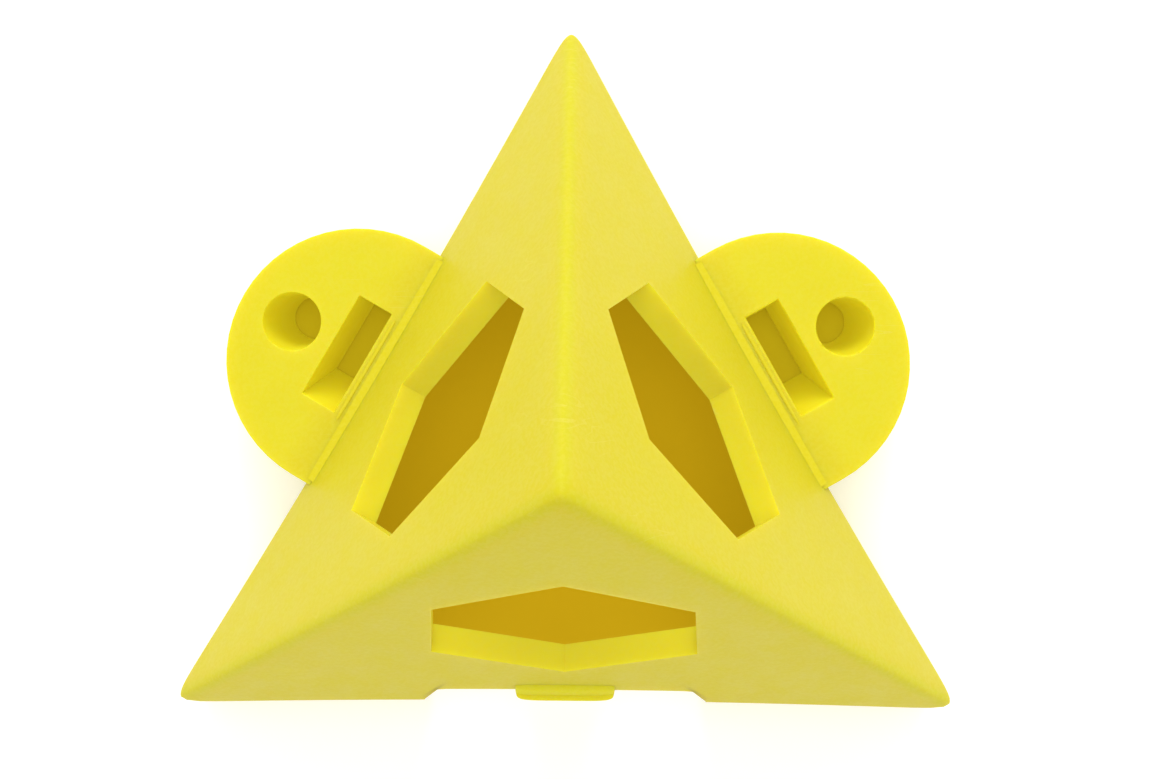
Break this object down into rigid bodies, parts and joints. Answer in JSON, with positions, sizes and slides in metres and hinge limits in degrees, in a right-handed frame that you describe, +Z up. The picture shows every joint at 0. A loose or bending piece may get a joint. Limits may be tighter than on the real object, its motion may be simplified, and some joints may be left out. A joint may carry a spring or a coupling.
{
  "type": "pyramid work rest",
  "caption": "Hollow three-sided plastic pyramid that holds work off a bench on its tip, with slotted screw lugs and a lock tab that joins it to a neighbour.",
  "frame": {"origin": "middle of the footprint's box, on the surface that the part stands on", "axes": "+X along the front edge, +Y from the front face with the lock tab to the far corner, +Z up to the tip"},
  "size_m": [0.0718, 0.0624, 0.045],
  "materials": {
    "shell_plastic": "satin moulded, slightly translucent yellow",
    "lug_plastic": "satin moulded, slightly translucent yellow",
    "tip_plastic": "satin moulded, slightly translucent yellow"
  },
  "bodies": {
    "root": {"base_rim": "shell_plastic", "pyramid_shell": "shell_plastic", "rest_tip": "tip_plastic", "left_lug": "lug_plastic", "right_lug": "lug_plastic", "lock_tab": "shell_plastic"}
  },
  "joints": []
}
